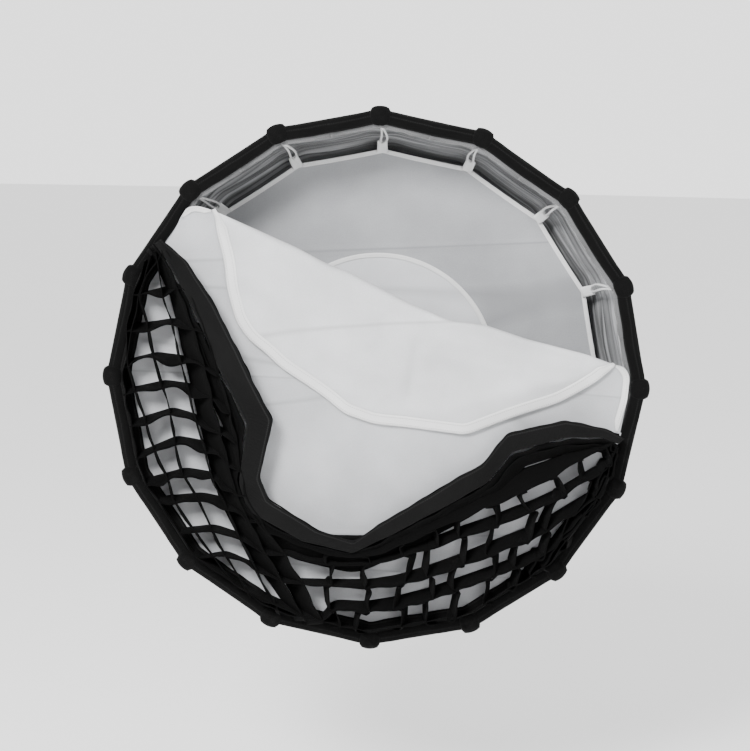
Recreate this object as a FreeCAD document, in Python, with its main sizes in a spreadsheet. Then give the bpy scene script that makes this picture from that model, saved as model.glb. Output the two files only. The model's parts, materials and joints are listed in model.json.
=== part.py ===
import FreeCAD, Part
import math
import os
import re

import Sketcher

# Sixteen-sided quick-folding softbox with inner and outer diffusers and a fabric grid.
# Row frame: +Z up, the light leaves along -Y, and the origin is the centre of the mount ring's rear face.
# Every sub-part is drawn in a "forward" frame: its Z runs forward (row -Y), its X is row X and its Y is row Z.

SIDES = 16
STEP_DEG = 360.0 / SIDES
# The lock knob points down, between two ribs.
KNOB_ANGLE = -90.0 + STEP_DEG / 2

SIZES = {
    # mount ring, which fastens to the light
    "bore_radius": 49.0,
    "spigot_radius": 56.0,
    "spigot_length": 46.0,
    "flange_radius": 75.0,
    "flange_thickness": 5.0,
    "lug_inner_radius": 52.0,
    "lug_web": 4.0,
    "lug_outer_radius": 63.0,
    "lug_height": 9.0,
    "lug_lip": 3.5,
    "lug_span": 24.0,
    "retainer_inner": 49.6,
    "retainer_outer": 66.0,
    "retainer_thickness": 4.0,
    "retainer_gap": 0.05,
    "screw_circle": 53.0,
    "screw_radius": 1.5,
    "screw_head_radius": 2.5,
    "screw_length": 12.0,
    "screw_clearance": 0.05,
    # hub ring, which turns on the spigot and carries the ribs
    "journal_clearance": 0.05,
    "hub_radius": 72.0,
    "hub_back": 5.3,
    "hub_front": 45.7,
    "ear_root": 70.0,
    "ear_tip": 87.0,
    "ear_back": 32.0,
    "ear_gap": 10.4,
    "ear_thickness": 3.2,
    "pin_circle": 80.0,
    "pin_forward": 38.0,
    "pin_radius": 2.0,
    "pin_length": 17.4,
    "pin_overcut": 4.0,
    "pin_seat": 0.02,
    "pin_running": 0.05,
    "cuff_start_radius": 72.4,
    "cuff_start_forward": 19.5,
    "cuff_end_radius": 113.0,
    "cuff_end_forward": 44.5,
    "cuff_thickness": 1.5,
    # lock knob
    "knob_forward": 13.0,
    "knob_start": 80.0,
    "knob_length": 24.0,
    "knob_radius": 9.0,
    "knob_flute": 2.2,
    "stud_radius": 3.0,
    "stud_start": 57.5,
    "stud_end": 90.0,
    # ribs and their hinge shoes
    "rib_lean": 61.5,
    "rib_radius": 2.0,
    "rib_root": 8.0,
    "rib_straight": 30.0,
    "rib_bend": 658.0,
    "rib_turn": 53.0,
    "tip_ball": 3.5,
    "shoe_boss": 6.0,
    "shoe_half_height": 5.5,
    "shoe_width": 10.0,
    "shoe_shoulder": 9.6,
    "shoe_length": 28.0,
    "shoe_taper": 1.0,
    "rib_seat": 0.02,
    "socket_relief": 0.2,
    # shell
    "half_step": STEP_DEG / 2,
    "panel_start_radius": 105.8,
    "panel_start_forward": 50.0,
    "panel_end_radius": 440.9,
    "panel_end_forward": 554.6,
    "panel_bend": 660.0,
    "panel_start_lean": 61.0,
    "panel_end_lean": 6.5,
    "panel_thickness": 2.0,
    "panel_pad": 190.0,
    "panel_trim": 30.0,
    "seam_gap": 0.15,
    # rim
    "rim_forward": 556.0,
    "rim_outer": 442.9,
    "rim_inner": 421.0,
    "rim_thickness": 6.0,
    "pocket_half_width": 17.5,
    "pocket_gap": 0.4,
    "pocket_inner": 425.0,
    "pocket_outer": 457.0,
    "pocket_thickness": 10.0,
    "pocket_corner": 8.0,
    "tape_inner": 409.0,
    "tape_outer": 438.8,
    "tape_forward": 553.2,
    "tape_thickness": 2.5,
    "tape_gap": 8.0,
    # inner diffuser
    "inner_forward": 400.0,
    "inner_radius": 387.0,
    "inner_binding": 9.0,
    "inner_thickness": 1.5,
    "binding_thickness": 2.5,
    "disc_radius": 207.0,
    "disc_binding": 8.0,
    "disc_thickness": 1.0,
    "soft_gap": 0.3,
    "tab_width": 25.0,
    "tab_start_radius": 387.6,
    "tab_start_forward": 401.0,
    "tab_end_radius": 411.0,
    "tab_end_forward": 436.0,
    "tab_thickness": 1.2,
    "loop_cord": 2.0,
    "loop_width": 9.0,
    "loop_start_radius": 413.5,
    "loop_start_forward": 428.0,
    "loop_end_radius": 427.0,
    "loop_end_forward": 549.0,
    # outer diffuser and its folded-down flap
    "sheet_forward": 556.3,
    "sheet_thickness": 1.5,
    "sheet_apothem": 420.0,
    "sheet_radius": 424.0,
    "hem_width": 20.0,
    "crease_angle": 69.3,
    "crease_distance": 173.6,
    "crease_rise": 25.0,
    # fabric grid
    "grid_forward": 560.5,
    "grid_depth": 45.5,
    "grid_radius": 419.0,
    "grid_apothem": 416.0,
    "grid_pitch": 50.0,
    "grid_strip": 2.0,
    "grid_border": 6.0,
    "band_width": 38.0,
    "band_thickness": 6.0,
}

# The grid's peeled edge, from the left of the rim to the right, as (row X, row Z).
GRID_EDGE = [
    (-395, 262),
    (-312, 198),
    (-262, 120),
    (-203, 4),
    (-167, -60),
    (-188, -162),
    (-172, -198),
    (-92, -246),
    (-30, -264),
    (12, -232),
    (143, -148),
    (181, -126),
    (219, -74),
    (315, -50),
    (430, -90),
]
BEYOND = 640.0

doc = FreeCAD.newDocument("softbox")
sheet = doc.addObject("Spreadsheet::Sheet", "Sizes")
for row, (alias, number) in enumerate(SIZES.items(), start=1):
    sheet.set(f"A{row}", alias)
    sheet.set(f"B{row}", str(number))
    sheet.setAlias(f"B{row}", alias)
doc.recompute()

subparts = []


def bound(expression):
    """An expression on the sheet's aliases, written as the document's objects need it."""
    return re.sub(
        r"[a-z_]+", lambda word: f"Sizes.{word[0]}" if word[0] in SIZES else word[0], expression
    )


def size(expression):
    """The value of an expression on the sheet's aliases."""
    return float(sheet.evalExpression(bound(expression)))


def forward_frame(angle=0.0, radius=0.0, forward=0.0, lean=0.0, about_forward=0.0):
    """Forward frame turned by angle about the optical axis and moved out by radius, with X leaning towards forward."""
    front = FreeCAD.Placement(FreeCAD.Vector(), FreeCAD.Rotation(FreeCAD.Vector(1, 0, 0), 90))
    turn = FreeCAD.Placement(FreeCAD.Vector(), FreeCAD.Rotation(FreeCAD.Vector(0, 0, 1), angle))
    out = FreeCAD.Placement(
        FreeCAD.Vector(radius, 0, forward), FreeCAD.Rotation(FreeCAD.Vector(0, 1, 0), -lean)
    )
    spin = FreeCAD.Placement(
        FreeCAD.Vector(), FreeCAD.Rotation(FreeCAD.Vector(0, 0, 1), about_forward)
    )
    return front.multiply(turn).multiply(out).multiply(spin)


def subpart(obj, label, placement=None):
    """Names an object as a sub-part of the softbox and sets its place."""
    obj.Label = label
    if placement is not None:
        obj.Placement = placement
    subparts.append(obj)
    return obj


def new_body(name):
    return doc.addObject("PartDesign::Body", name)


def origin_feature(body, role):
    return next(f for f in body.Origin.OriginFeatures if f.Role == role)


def sketch_on(body, name, plane, outlines=(), circles=()):
    """A sketch of closed outlines and circles. An outline is a list of (x, y) corners, and a corner may add the radius and
    bulge side of the arc that leaves it. A circle is (x, y, radius). Every number is an expression on the sheet."""
    sketch = body.newObject("Sketcher::SketchObject", name)
    sketch.AttachmentSupport = [(origin_feature(body, plane), "")]
    sketch.MapMode = "FlatFace"
    for outline in outlines:
        draw_outline(sketch, outline)
    for x, y, radius in circles:
        centre = FreeCAD.Vector(size(x), size(y), 0)
        circle = sketch.addGeometry(
            Part.Circle(centre, FreeCAD.Vector(0, 0, 1), size(radius)), False
        )
        bind(sketch, Sketcher.Constraint("DistanceX", -1, 1, circle, 3, size(x)), x)
        bind(sketch, Sketcher.Constraint("DistanceY", -1, 1, circle, 3, size(y)), y)
        bind(sketch, Sketcher.Constraint("Radius", circle, size(radius)), radius)
    return sketch


def bind(sketch, constraint, expression):
    index = sketch.addConstraint(constraint)
    sketch.setExpression(f"Constraints[{index}]", bound(expression))


def draw_outline(sketch, outline):
    points = [FreeCAD.Vector(size(c[0]), size(c[1]), 0) for c in outline]
    ends = []
    for i, corner in enumerate(outline):
        a, b = points[i], points[(i + 1) % len(points)]
        if len(corner) == 4:
            radius, side = size(corner[2]), corner[3]
            index = sketch.addGeometry(arc_between(a, b, radius, side), False)
            first = sketch.getPoint(index, 1)
            starts_at_a = first.distanceToPoint(a) < first.distanceToPoint(b)
            ends.append((index, 1, 2) if starts_at_a else (index, 2, 1))
            bind(sketch, Sketcher.Constraint("Radius", index, radius), corner[2])
        else:
            index = sketch.addGeometry(Part.LineSegment(a, b), False)
            ends.append((index, 1, 2))
    for i, corner in enumerate(outline):
        index, start, _ = ends[i]
        before, _, finish = ends[i - 1]
        sketch.addConstraint(Sketcher.Constraint("Coincident", before, finish, index, start))
        x, y = corner[0], corner[1]
        bind(sketch, Sketcher.Constraint("DistanceX", -1, 1, index, start, size(x)), x)
        bind(sketch, Sketcher.Constraint("DistanceY", -1, 1, index, start, size(y)), y)


def arc_between(a, b, radius, side):
    """The short arc of this radius from a to b that bulges to the left (side 1) or the right (side -1) of the way.
    A sketch keeps every arc anticlockwise, so one that bulges left is drawn from b to a."""
    half = a.distanceToPoint(b) / 2
    along = (b - a).normalize()
    left = FreeCAD.Vector(-along.y, along.x, 0)
    rise = radius - math.sqrt(radius**2 - half**2)
    middle = (a + b) * 0.5 + left * (side * rise)
    return Part.Arc(a, middle, b) if side < 0 else Part.Arc(b, middle, a)


def pad(body, name, sketch, length, midplane=False):
    feature = body.newObject("PartDesign::Pad", name)
    feature.Profile = sketch
    feature.Midplane = midplane
    feature.setExpression("Length", bound(length))
    return feature


def revolve(body, name, sketch, axis="Z_Axis", angle=None):
    feature = body.newObject("PartDesign::Revolution", name)
    feature.Profile = sketch
    feature.ReferenceAxis = (origin_feature(body, axis), [""])
    feature.Angle = 360
    if angle is not None:
        feature.Midplane = True
        feature.setExpression("Angle", bound(angle))
    return feature


def cut_through(body, name, sketch):
    """A pocket through everything, both ways, that has to take material away."""
    doc.recompute()
    before = body.Shape.Volume
    feature = body.newObject("PartDesign::Pocket", name)
    feature.Profile = sketch
    feature.Type = "ThroughAll"
    feature.Midplane = True
    doc.recompute()
    if body.Shape.Volume >= before:
        raise ValueError(f"{name} cuts nothing")
    return feature


def repeat(body, name, features, count):
    """Copies features evenly round the forward axis."""
    pattern = body.newObject("PartDesign::PolarPattern", name)
    pattern.Originals = features
    pattern.Axis = (origin_feature(body, "Z_Axis"), [""])
    pattern.Angle = 360
    pattern.Occurrences = count
    body.Tip = pattern
    return pattern


def rectangle(x_low, x_high, y_low, y_high):
    return [(x_low, y_low), (x_high, y_low), (x_high, y_high), (x_low, y_high)]


# ---------------------------------------------------------------- mount ring


def mount_ring():
    body = new_body("MountRing")
    profile = sketch_on(
        body,
        "MountRingProfile",
        "XZ_Plane",
        [
            [
                ("bore_radius", "0"),
                ("flange_radius", "0"),
                ("flange_radius", "flange_thickness"),
                ("spigot_radius", "flange_thickness"),
                ("spigot_radius", "spigot_length"),
                ("bore_radius", "spigot_length"),
            ]
        ],
    )
    revolve(body, "MountRingTurned", profile)
    hole = sketch_on(
        body,
        "TappedHole",
        "XY_Plane",
        circles=[("screw_circle", "0", "screw_radius + screw_clearance")],
    )
    drilled = body.newObject("PartDesign::Pocket", "TappedHoles")
    drilled.Profile = hole
    drilled.Type = "ThroughAll"
    drilled.Midplane = True
    repeat(body, "TappedHolePattern", [drilled], 4)
    subpart(body, "bayonet_ring", forward_frame())


def bayonet_lugs():
    body = new_body("BayonetLugs")
    profile = sketch_on(
        body,
        "LugProfile",
        "XZ_Plane",
        [
            [
                ("lug_inner_radius", "0"),
                ("lug_outer_radius", "0"),
                ("lug_outer_radius", "lug_lip"),
                ("lug_inner_radius + lug_web", "lug_lip"),
                ("lug_inner_radius + lug_web", "lug_height"),
                ("lug_inner_radius", "lug_height"),
            ]
        ],
    )
    lug = revolve(body, "Lug", profile, angle="lug_span")
    repeat(body, "LugPattern", [lug], 3)
    subpart(body, "bayonet_lugs", forward_frame(angle=30, forward=-size("lug_height")))


def retaining_ring():
    body = new_body("RetainingRing")
    profile = sketch_on(
        body,
        "RetainerProfile",
        "XZ_Plane",
        [rectangle("retainer_inner", "retainer_outer", "0", "retainer_thickness")],
    )
    revolve(body, "RetainerTurned", profile)
    hole = sketch_on(
        body,
        "RetainerHole",
        "XY_Plane",
        circles=[("screw_circle", "0", "screw_head_radius + screw_clearance")],
    )
    drilled = body.newObject("PartDesign::Pocket", "RetainerHoles")
    drilled.Profile = hole
    drilled.Type = "ThroughAll"
    drilled.Midplane = True
    repeat(body, "RetainerHolePattern", [drilled], 4)
    forward = size("spigot_length + retainer_gap")
    subpart(body, "retaining_ring", forward_frame(forward=forward))


def retaining_screws():
    body = new_body("RetainingScrews")
    top = "screw_length"
    neck = "screw_length - retainer_thickness - retainer_gap"
    shank = sketch_on(body, "ShankCircle", "XY_Plane", circles=[("screw_circle", "0", "screw_radius")])
    shank_pad = pad(body, "Shank", shank, neck)
    head = sketch_on(body, "HeadCircle", "XY_Plane", circles=[("screw_circle", "0", "screw_head_radius")])
    head.setExpression("AttachmentOffset.Base.z", bound(neck))
    head_pad = pad(body, "Head", head, f"{top} - ( {neck} )")
    repeat(body, "ScrewPattern", [shank_pad, head_pad], 4)
    forward = size(f"spigot_length - ( {neck} )")
    subpart(body, "retaining_screws", forward_frame(forward=forward))


# ---------------------------------------------------------------- hub ring


def hub_ring():
    body = new_body("HubRing")
    bore = "spigot_radius + journal_clearance"
    profile = sketch_on(
        body,
        "HubProfile",
        "XZ_Plane",
        [rectangle(bore, "hub_radius", "hub_back", "hub_front")],
    )
    revolve(body, "HubTurned", profile)
    inside = "ear_gap / 2"
    outside = "ear_gap / 2 + ear_thickness"
    ears = sketch_on(
        body,
        "EarPair",
        "XY_Plane",
        [
            rectangle("ear_root", "ear_tip", inside, outside),
            rectangle("ear_root", "ear_tip", f"0 - ( {outside} )", f"0 - {inside}"),
        ],
    )
    ears.setExpression("AttachmentOffset.Base.z", bound("ear_back"))
    ear_pad = pad(body, "Ears", ears, "hub_front - ear_back")
    repeat(body, "EarPattern", [ear_pad], SIDES)
    seat = sketch_on(
        body,
        "PinSeat",
        "XZ_Plane",
        circles=[("pin_circle", "pin_forward", "pin_radius + pin_seat")],
    )
    seats = body.newObject("PartDesign::Pocket", "PinSeats")
    seats.Profile = seat
    seats.Midplane = True
    seats.setExpression("Length", bound("pin_length + pin_overcut"))
    repeat(body, "PinSeatPattern", [seats], SIDES)
    stud = sketch_on(
        body,
        "StudHole",
        "YZ_Plane",
        circles=[("0", "knob_forward", "stud_radius + pin_running")],
    )
    stud.AttachmentOffset = FreeCAD.Placement(
        FreeCAD.Vector(), FreeCAD.Rotation(FreeCAD.Vector(0, 1, 0), KNOB_ANGLE)
    )
    stud_hole = body.newObject("PartDesign::Pocket", "StudPassage")
    stud_hole.Profile = stud
    stud_hole.Type = "Length"
    stud_hole.Reversed = True
    stud_hole.setExpression("Length", bound("knob_start"))
    subpart(body, "hub_ring", forward_frame())


def hinge_pins():
    body = new_body("HingePins")
    circle = sketch_on(
        body,
        "PinCircle",
        "XZ_Plane",
        circles=[("pin_circle", "pin_forward", "pin_radius")],
    )
    pin = pad(body, "Pin", circle, "pin_length", midplane=True)
    repeat(body, "PinPattern", [pin], SIDES)
    subpart(body, "hinge_pins", forward_frame())


def hub_cuff():
    body = new_body("HubCuff")
    profile = sketch_on(
        body,
        "CuffProfile",
        "XZ_Plane",
        [
            [
                ("cuff_start_radius", "cuff_start_forward"),
                ("cuff_end_radius", "cuff_end_forward"),
                ("cuff_end_radius", "cuff_end_forward + cuff_thickness"),
                ("cuff_start_radius", "cuff_start_forward + cuff_thickness"),
            ]
        ],
    )
    revolve(body, "CuffTurned", profile)
    subpart(body, "hub_cuff", forward_frame())


# ---------------------------------------------------------------- lock knob

# Drawn with X along the knob.


def lock_knob():
    body = new_body("LockKnob")
    grip = sketch_on(body, "GripCircle", "YZ_Plane", circles=[("0", "0", "knob_radius")])
    pad(body, "Grip", grip, "knob_length")
    bore = sketch_on(body, "GripBore", "YZ_Plane", circles=[("0", "0", "stud_radius")])
    bored = body.newObject("PartDesign::Pocket", "StudSeat")
    bored.Profile = bore
    bored.Reversed = True
    bored.setExpression("Length", bound("stud_end - knob_start"))
    flute = sketch_on(body, "FluteCircle", "YZ_Plane", circles=[("knob_radius", "0", "knob_flute")])
    fluted = body.newObject("PartDesign::Pocket", "Flute")
    fluted.Profile = flute
    fluted.Type = "ThroughAll"
    fluted.Midplane = True
    pattern = body.newObject("PartDesign::PolarPattern", "FlutePattern")
    pattern.Originals = [fluted]
    pattern.Axis = (origin_feature(body, "X_Axis"), [""])
    pattern.Angle = 360
    pattern.Occurrences = 8
    body.Tip = pattern
    place = forward_frame(KNOB_ANGLE, size("knob_start"), size("knob_forward"))
    subpart(body, "lock_knob", place)


def knob_stud():
    body = new_body("KnobStud")
    circle = sketch_on(body, "StudCircle", "YZ_Plane", circles=[("0", "0", "stud_radius")])
    pad(body, "Stud", circle, "stud_end - stud_start")
    place = forward_frame(KNOB_ANGLE, size("stud_start"), size("knob_forward"))
    subpart(body, "knob_stud", place)


# ---------------------------------------------------------------- ribs


def rib(number):
    """One sprung rib: straight in its shoe, then one long bend to the ball at its tip."""
    body = new_body(f"Rib{number}")
    root, straight, bend, turn = "rib_root", "rib_straight", "rib_bend", "rib_turn"
    path = body.newObject("Sketcher::SketchObject", f"RibPath{number}")
    path.AttachmentSupport = [(origin_feature(body, "XZ_Plane"), "")]
    path.MapMode = "FlatFace"
    start = FreeCAD.Vector(size(root), 0, 0)
    knee = FreeCAD.Vector(size(straight), 0, 0)
    tip_x = f"{straight} + {bend} * sin( {turn} )"
    tip_y = f"{bend} - {bend} * cos( {turn} )"
    tip = FreeCAD.Vector(size(tip_x), size(tip_y), 0)
    path.addGeometry(Part.LineSegment(start, knee), False)
    path.addGeometry(arc_between(knee, tip, size(bend), -1), False)
    path.addConstraint(Sketcher.Constraint("Coincident", 0, 2, 1, 1))
    bind(path, Sketcher.Constraint("DistanceX", -1, 1, 0, 1, start.x), root)
    path.addConstraint(Sketcher.Constraint("PointOnObject", 0, 1, -1))
    bind(path, Sketcher.Constraint("DistanceX", -1, 1, 1, 1, knee.x), straight)
    path.addConstraint(Sketcher.Constraint("PointOnObject", 1, 1, -1))
    bind(path, Sketcher.Constraint("DistanceX", -1, 1, 1, 2, tip.x), tip_x)
    bind(path, Sketcher.Constraint("DistanceY", -1, 1, 1, 2, tip.y), tip_y)
    bind(path, Sketcher.Constraint("Radius", 1, size(bend)), bend)
    section = sketch_on(body, f"RibSection{number}", "YZ_Plane", circles=[("0", "0", "rib_radius")])
    section.setExpression("AttachmentOffset.Base.z", bound(root))
    pipe = body.newObject("PartDesign::AdditivePipe", f"RibRod{number}")
    pipe.Profile = section
    pipe.Spine = path
    ball = body.newObject("PartDesign::AdditiveSphere", f"RibBall{number}")
    ball.AttachmentSupport = [(origin_feature(body, "XY_Plane"), "")]
    ball.MapMode = "FlatFace"
    ball.setExpression("Radius", bound("tip_ball"))
    ball.setExpression("AttachmentOffset.Base.x", bound(tip_x))
    ball.setExpression("AttachmentOffset.Base.z", bound(tip_y))
    subpart(body, f"rib_{number:02d}", rib_place(number))


def rib_shoe(number):
    """The moulded knuckle that holds a rib's root and turns on its hinge pin."""
    body = new_body(f"Shoe{number}")
    outline = sketch_on(
        body,
        f"ShoeOutline{number}",
        "XZ_Plane",
        [
            [
                ("0", "0 - shoe_half_height"),
                ("shoe_shoulder", "0 - shoe_half_height"),
                ("shoe_length", "0 - shoe_half_height + shoe_taper"),
                ("shoe_length", "shoe_half_height - shoe_taper"),
                ("shoe_shoulder", "shoe_half_height"),
                ("0", "shoe_half_height"),
            ]
        ],
    )
    pad(body, f"ShoeBlock{number}", outline, "shoe_width", midplane=True)
    boss = sketch_on(body, f"BossCircle{number}", "XZ_Plane", circles=[("0", "0", "shoe_boss")])
    pad(body, f"Boss{number}", boss, "shoe_width", midplane=True)
    pivot = sketch_on(
        body, f"PivotHole{number}", "XZ_Plane", circles=[("0", "0", "pin_radius + pin_running")]
    )
    cut_through(body, f"Pivot{number}", pivot)
    socket = sketch_on(
        body, f"SocketHole{number}", "YZ_Plane", circles=[("0", "0", "rib_radius + rib_seat")]
    )
    socket.setExpression("AttachmentOffset.Base.z", bound("rib_root - socket_relief"))
    bored = body.newObject("PartDesign::Pocket", f"Socket{number}")
    bored.Profile = socket
    bored.Reversed = True
    bored.setExpression("Length", bound("rib_straight"))
    subpart(body, f"rib_shoe_{number:02d}", rib_place(number))


def rib_place(number):
    angle = 90.0 - STEP_DEG * (number - 1)
    return forward_frame(
        angle, size("pin_circle"), size("pin_forward"), lean=90.0 - size("rib_lean")
    )


# ---------------------------------------------------------------- shell and rim


def shell_panels():
    """Sixteen sewn panels, flat across and bent from the hub to the rim, one solid each."""
    body = new_body("ShellPanels")
    thick = "panel_thickness"
    profile = sketch_on(
        body,
        "PanelProfile",
        "XZ_Plane",
        [
            [
                ("panel_start_radius", "panel_start_forward", "panel_bend", -1),
                ("panel_end_radius", "panel_end_forward"),
                (
                    f"panel_end_radius + {thick} * cos( panel_end_lean )",
                    f"panel_end_forward - {thick} * sin( panel_end_lean )",
                    f"panel_bend + {thick}",
                    1,
                ),
                (
                    f"panel_start_radius + {thick} * cos( panel_start_lean )",
                    f"panel_start_forward - {thick} * sin( panel_start_lean )",
                ),
            ]
        ],
    )
    pad(body, "Panel", profile, "panel_pad", midplane=True)
    reach = "panel_end_radius + panel_trim"
    near = "panel_start_radius - panel_trim"
    edge_near = f"( {near} ) * tan( half_step ) - seam_gap"
    edge_far = f"( {reach} ) * tan( half_step ) - seam_gap"
    wide = "panel_pad"
    sides = sketch_on(
        body,
        "SeamSides",
        "XY_Plane",
        [
            [(near, edge_near), (reach, edge_far), (reach, wide), (near, wide)],
            [
                (near, f"0 - ( {edge_near} )"),
                (reach, f"0 - ( {edge_far} )"),
                (reach, f"0 - {wide}"),
                (near, f"0 - {wide}"),
            ],
        ],
    )
    cut_through(body, "Seams", sides)
    pattern = repeat(body, "PanelPattern", [], SIDES)
    pattern.TransformMode = "Whole shape"
    subpart(body, "shell_panels", forward_frame(angle=STEP_DEG / 2))


def side_strips(name, label, inner, outer, end_gap, forward, thickness):
    """Sixteen flat strips round the rim, one along each side, that stop short of the corners."""
    body = new_body(name)
    slack = f"( {end_gap} ) / cos( half_step )"
    low = f"{inner} * tan( half_step ) - {slack}"
    high = f"{outer} * tan( half_step ) - {slack}"
    outline = sketch_on(
        body,
        f"{name}Outline",
        "XY_Plane",
        [[(inner, f"0 - ( {low} )"), (outer, f"0 - ( {high} )"), (outer, high), (inner, low)]],
    )
    strip = pad(body, f"{name}Strip", outline, thickness)
    repeat(body, f"{name}Pattern", [strip], SIDES)
    subpart(body, label, forward_frame(angle=STEP_DEG / 2, forward=size(forward)))


def rib_pockets():
    body = new_body("RibPockets")
    low, high, half, cut = "pocket_inner", "pocket_outer", "pocket_half_width", "pocket_corner"
    outline = sketch_on(
        body,
        "PocketOutline",
        "XY_Plane",
        [
            [
                (low, f"0 - {half} + {cut} / 2"),
                (f"{low} + {cut} / 2", f"0 - {half}"),
                (f"{high} - {cut}", f"0 - {half}"),
                (high, f"0 - {half} + {cut}"),
                (high, f"{half} - {cut}"),
                (f"{high} - {cut}", half),
                (f"{low} + {cut} / 2", half),
                (low, f"{half} - {cut} / 2"),
            ]
        ],
    )
    pocket = pad(body, "Pocket", outline, "pocket_thickness")
    repeat(body, "PocketPattern", [pocket], SIDES)
    subpart(body, "rib_pockets", forward_frame(forward=size("rim_forward")))


# ---------------------------------------------------------------- inner diffuser


def prism(name, circumradius, thickness, forward):
    solid = doc.addObject("Part::Prism", name)
    solid.Polygon = SIDES
    solid.setExpression("Circumradius", bound(circumradius))
    solid.setExpression("Height", bound(thickness))
    solid.Placement = forward_frame(forward=size(forward))
    return solid


def cylinder(name, radius, thickness, forward):
    solid = doc.addObject("Part::Cylinder", name)
    solid.setExpression("Radius", bound(radius))
    solid.setExpression("Height", bound(thickness))
    solid.Placement = forward_frame(forward=size(forward))
    return solid


def ring_of(name, label, outer, inner):
    cut = doc.addObject("Part::Cut", name)
    cut.Base = outer
    cut.Tool = inner
    subpart(cut, label)


def inner_diffuser():
    inside = "inner_radius - inner_binding"
    at = "inner_forward"
    subpart(prism("InnerSheet", f"{inside} - soft_gap", "inner_thickness", at), "inner_diffuser")
    ring_of(
        "InnerBinding",
        "inner_binding",
        prism("InnerBindingOuter", "inner_radius", "binding_thickness", at),
        prism("InnerBindingHole", inside, "binding_thickness", at),
    )


def centre_disc():
    at = "inner_forward + inner_thickness + soft_gap"
    inside = "disc_radius - disc_binding"
    subpart(cylinder("CentreDisc", f"{inside} - soft_gap", "disc_thickness", at), "centre_disc")
    ring_of(
        "DiscBinding",
        "disc_binding",
        cylinder("DiscBindingOuter", "disc_radius", "disc_thickness", at),
        cylinder("DiscBindingHole", inside, "disc_thickness", at),
    )


def corner_tabs():
    body = new_body("CornerTabs")
    profile = sketch_on(
        body,
        "TabProfile",
        "XZ_Plane",
        [
            [
                ("tab_start_radius", "tab_start_forward"),
                ("tab_start_radius + tab_thickness", "tab_start_forward"),
                ("tab_end_radius + tab_thickness", "tab_end_forward"),
                ("tab_end_radius", "tab_end_forward"),
            ]
        ],
    )
    tab = pad(body, "Tab", profile, "tab_width", midplane=True)
    repeat(body, "TabPattern", [tab], SIDES)
    subpart(body, "corner_tabs", forward_frame())


def elastic_loops():
    """Sixteen flat elastic loops from the rim's corners down to the diffuser's tabs, one solid each."""
    run_r = size("loop_end_radius - loop_start_radius")
    run_f = size("loop_end_forward - loop_start_forward")
    length = math.hypot(run_r, run_f)
    lean = math.degrees(math.atan2(run_f, run_r))
    cord, half = size("loop_cord"), size("loop_width") / 2
    outer = racetrack(length, half)
    inner = racetrack(length, half - cord)
    flat = Part.Face(outer).cut(Part.Face(inner))
    loop = flat.extrude(FreeCAD.Vector(0, 0, cord))
    loops = []
    for i in range(SIDES):
        place = forward_frame(
            i * STEP_DEG, size("loop_start_radius"), size("loop_start_forward"), lean=lean
        )
        one = loop.copy()
        one.Placement = place
        loops.append(one)
    feature = doc.addObject("Part::Feature", "ElasticLoops")
    feature.Shape = Part.makeCompound(loops)
    subpart(feature, "elastic_loops")


def racetrack(length, half):
    """A closed outline along X with straight sides and round ends."""
    corners = [
        FreeCAD.Vector(0, -half, 0),
        FreeCAD.Vector(length, -half, 0),
        FreeCAD.Vector(length, half, 0),
        FreeCAD.Vector(0, half, 0),
    ]
    far = Part.Arc(corners[1], FreeCAD.Vector(length + half, 0, 0), corners[2]).toShape()
    near = Part.Arc(corners[3], FreeCAD.Vector(-half, 0, 0), corners[0]).toShape()
    return Part.Wire(
        [
            Part.LineSegment(corners[0], corners[1]).toShape(),
            far,
            Part.LineSegment(corners[2], corners[3]).toShape(),
            near,
        ]
    )


# ---------------------------------------------------------------- outer diffuser

# These are drawn flat in the forward frame and then turned into the row frame.


def opening_column(apothem, radius, low, high):
    """The rim's opening, inset, as an upright column between two heights."""
    corner = apothem / math.cos(math.radians(STEP_DEG / 2))
    points = [
        FreeCAD.Vector(
            corner * math.cos(math.radians(i * STEP_DEG)),
            corner * math.sin(math.radians(i * STEP_DEG)),
            low,
        )
        for i in range(SIDES)
    ]
    polygon = Part.Face(Part.makePolygon(points + [points[0]]))
    column = polygon.extrude(FreeCAD.Vector(0, 0, high - low))
    return column.common(Part.makeCylinder(radius, high - low, FreeCAD.Vector(0, 0, low)))


def crease():
    """A point on the crease, the direction across it and the direction along it."""
    angle = math.radians(size("crease_angle"))
    across = FreeCAD.Vector(math.cos(angle), math.sin(angle), 0)
    along = FreeCAD.Vector(-across.y, across.x, 0)
    return across * size("crease_distance"), across, along


def beyond_crease(low, high):
    """Everything past the crease, between two heights."""
    point, across, along = crease()
    start = point - along * BEYOND
    start.z = low
    corners = [
        start,
        start + along * (2 * BEYOND),
        start + along * (2 * BEYOND) + across * BEYOND,
        start + across * BEYOND,
    ]
    face = Part.Face(Part.makePolygon(corners + [start]))
    return face.extrude(FreeCAD.Vector(0, 0, high - low))


def folded_sheet(inset):
    """The outer diffuser, inset at its edge: the lower part, the soft bend along the crease and the flap in front."""
    apothem = size("sheet_apothem") - inset
    radius = size("sheet_radius") - inset
    low = size("sheet_forward")
    thick = size("sheet_thickness")
    rise = size("crease_rise")
    point, across, along = crease()
    back = opening_column(apothem, radius, low, low + thick)
    back = back.cut(beyond_crease(low, low + thick))
    front_low = low + rise - thick
    flap = opening_column(apothem, radius, front_low, low + rise)
    flap = flap.common(beyond_crease(front_low, low + rise))
    flap = flap.mirror(point, across)
    half_crease = math.sqrt(radius**2 - point.Length**2)
    start = point - along * half_crease
    start.z = low + rise / 2
    outer = Part.makeCylinder(rise / 2, 2 * half_crease, start, along)
    inner = Part.makeCylinder(rise / 2 - thick, 2 * half_crease, start, along)
    bend = outer.cut(inner).common(beyond_crease(low, low + rise))
    bend = bend.common(opening_column(apothem, radius, low, low + rise))
    return back.fuse([bend, flap]).removeSplitter()


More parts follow.
